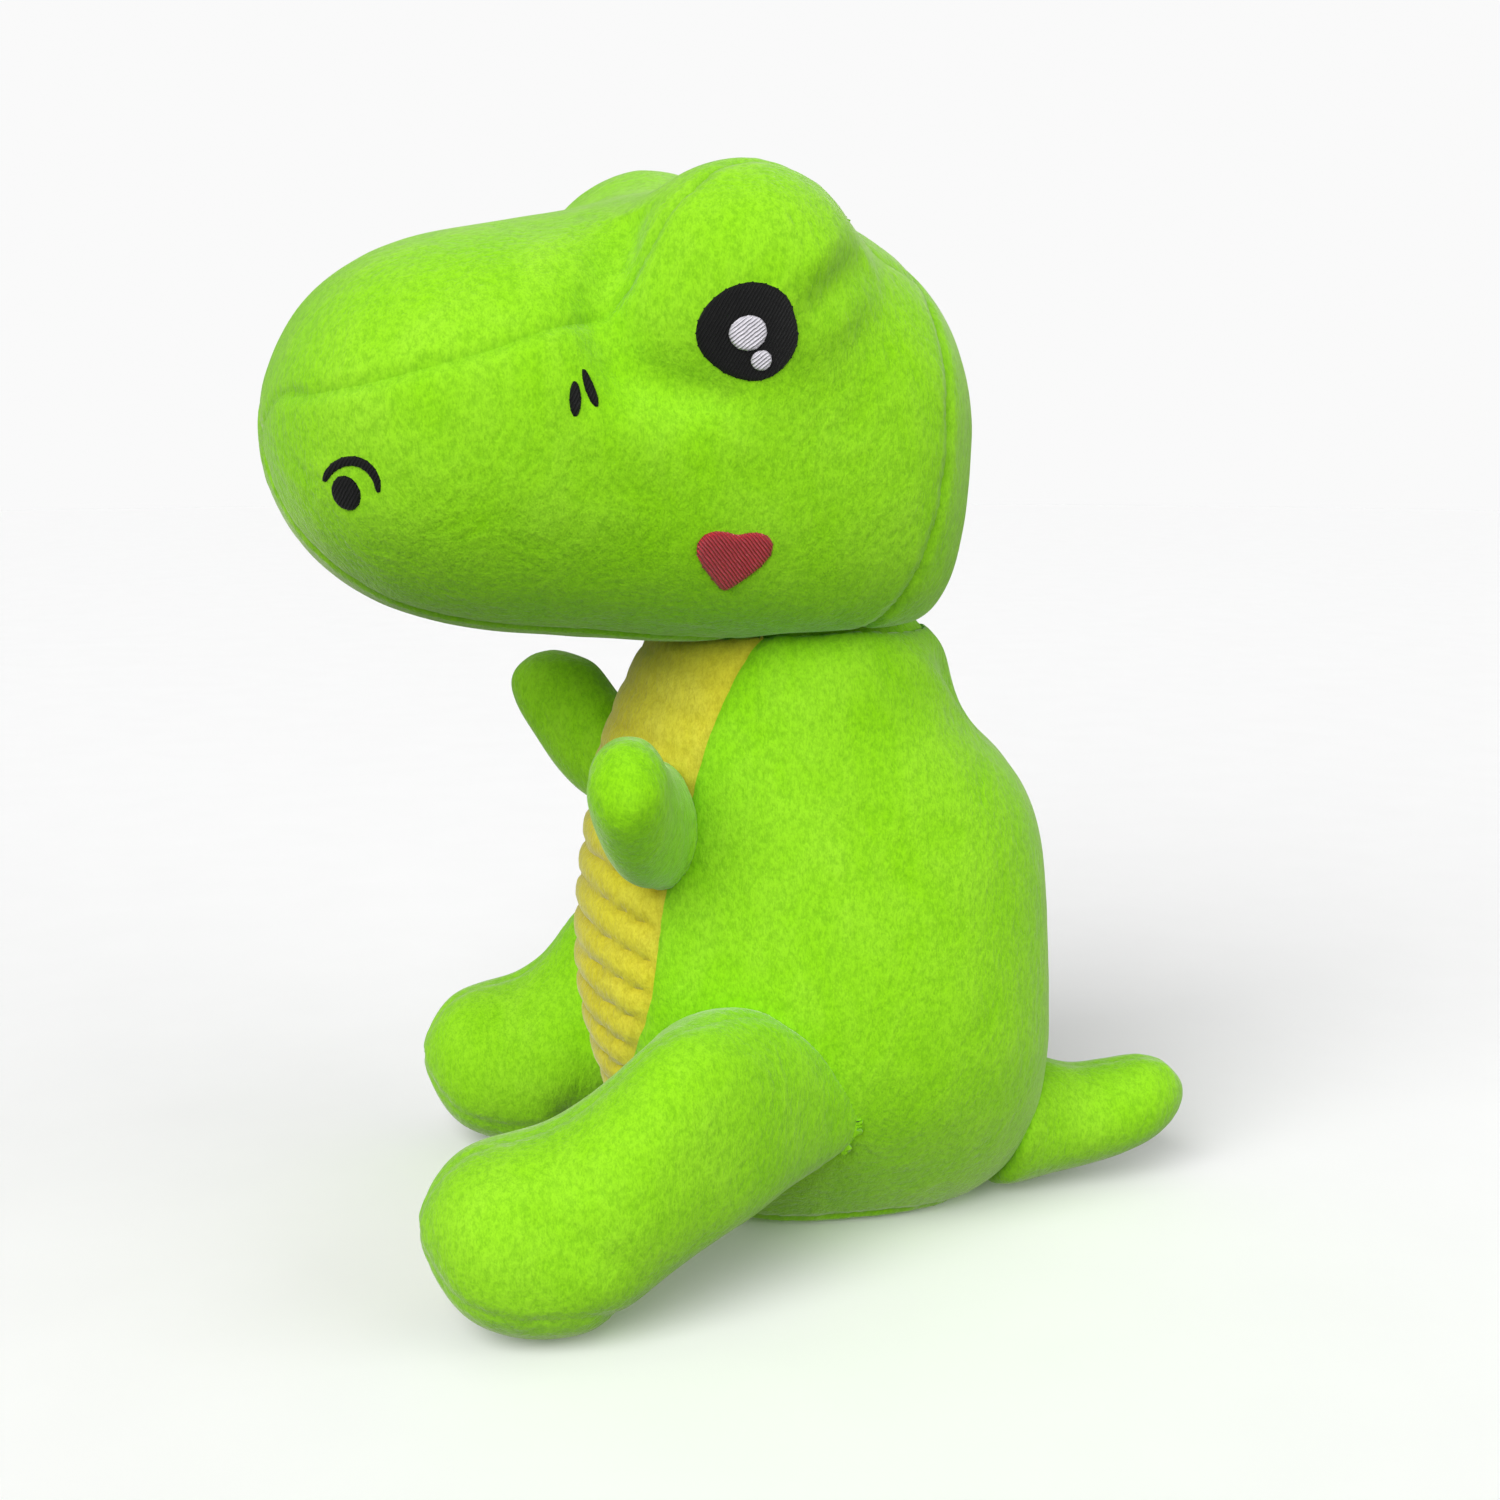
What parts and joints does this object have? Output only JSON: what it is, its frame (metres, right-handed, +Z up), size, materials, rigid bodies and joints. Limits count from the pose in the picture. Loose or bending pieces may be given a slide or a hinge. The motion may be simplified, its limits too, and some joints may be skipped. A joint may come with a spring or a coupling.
{
  "type": "stuffed dinosaur",
  "caption": "Seated plush dinosaur with a blunt snout, ribbed belly panel, embroidered face, short arms, soft feet and a stub tail.",
  "frame": {"origin": "on the floor under the middle of the toy's outline, halfway between snout tip and tail tip", "axes": "+Z up, the toy faces -Y, +X is the toy's own left side"},
  "size_m": [0.1602, 0.236, 0.2633],
  "materials": {
    "plush": "short brushed lime green plush",
    "belly_velboa": "yellow velboa with soft cross ribs",
    "stuffing": "loose white polyester fibre",
    "embroidery_black": "dense black fill stitch",
    "embroidery_silver": "silver-white satin stitch",
    "embroidery_red": "crimson satin stitch",
    "sewing_thread": "green sewing thread"
  },
  "bodies": {
    "torso": {"body_side_left": "plush", "body_side_right": "plush", "belly_panel": "belly_velboa", "base_panel": "plush", "body_fill": "stuffing", "closing_stitches": "sewing_thread"},
    "neck": {"neck_skin": "plush", "neck_fill": "stuffing"},
    "head": {"head_side_left": "plush", "head_side_right": "plush", "head_top_panel": "plush", "head_back_panel": "plush", "chin_panel": "plush", "head_fill": "stuffing", "eye_disc_left": "embroidery_black", "eye_disc_right": "embroidery_black", "eye_highlights_left": "embroidery_silver", "eye_highlights_right": "embroidery_silver", "brow_marks_left": "embroidery_black", "brow_marks_right": "embroidery_black", "nostril_left": "embroidery_black", "nostril_right": "embroidery_black", "nostril_arc_left": "embroidery_black", "nostril_arc_right": "embroidery_black", "cheek_heart_left": "embroidery_red", "cheek_heart_right": "embroidery_red"},
    "arm_left": {"arm_upper_left": "plush", "arm_lower_left": "plush", "arm_fill_left": "stuffing"},
    "arm_right": {"arm_upper_right": "plush", "arm_lower_right": "plush", "arm_fill_right": "stuffing"},
    "leg_left": {"leg_outer_left": "plush", "leg_inner_left": "plush", "sole_left": "plush", "leg_fill_left": "stuffing"},
    "leg_right": {"leg_outer_right": "plush", "leg_inner_right": "plush", "sole_right": "plush", "leg_fill_right": "stuffing"},
    "tail": {"tail_left": "plush", "tail_right": "plush", "tail_fill": "stuffing"}
  },
  "joints": [
    {"name": "head_turn", "type": "hinge", "parent": "torso", "child": "neck", "pos_m": [0, 0.008, 0.12334], "axis": [0, 0, 1], "range_deg": [-15, 15], "stiffness_Nm_per_rad": 0.3},
    {"name": "head_nod", "type": "hinge", "parent": "neck", "child": "head", "pos_m": [0, 0.008, 0.12334], "axis": [0.9877, 0.1564, 0], "range_deg": [-10, 7], "stiffness_Nm_per_rad": 0.6, "springref_deg": -1.72},
    {"name": "arm_left_sway", "type": "hinge", "parent": "torso", "child": "arm_left", "pos_m": [0.0306, -0.0314, 0.108], "axis": [0.6293, 0.7771, 0], "range_deg": [-15, 15], "stiffness_Nm_per_rad": 0.01},
    {"name": "arm_right_sway", "type": "hinge", "parent": "torso", "child": "arm_right", "pos_m": [-0.0306, -0.0314, 0.108], "axis": [0.6293, -0.7771, 0], "range_deg": [-15, 15], "stiffness_Nm_per_rad": 0.01},
    {"name": "leg_left_lift", "type": "hinge", "parent": "torso", "child": "leg_left", "pos_m": [0.04324, -0.015, 0.042], "axis": [-0.9511, 0.309, 0], "range_deg": [0, 20], "stiffness_Nm_per_rad": 0.05},
    {"name": "leg_right_lift", "type": "hinge", "parent": "torso", "child": "leg_right", "pos_m": [-0.04324, -0.015, 0.042], "axis": [-0.9511, -0.309, 0], "range_deg": [0, 20], "stiffness_Nm_per_rad": 0.05},
    {"name": "tail_wag", "type": "hinge", "parent": "torso", "child": "tail", "pos_m": [0, 0.075, 0.017], "axis": [0, 0, 1], "range_deg": [-15, 15], "stiffness_Nm_per_rad": 0.01}
  ]
}
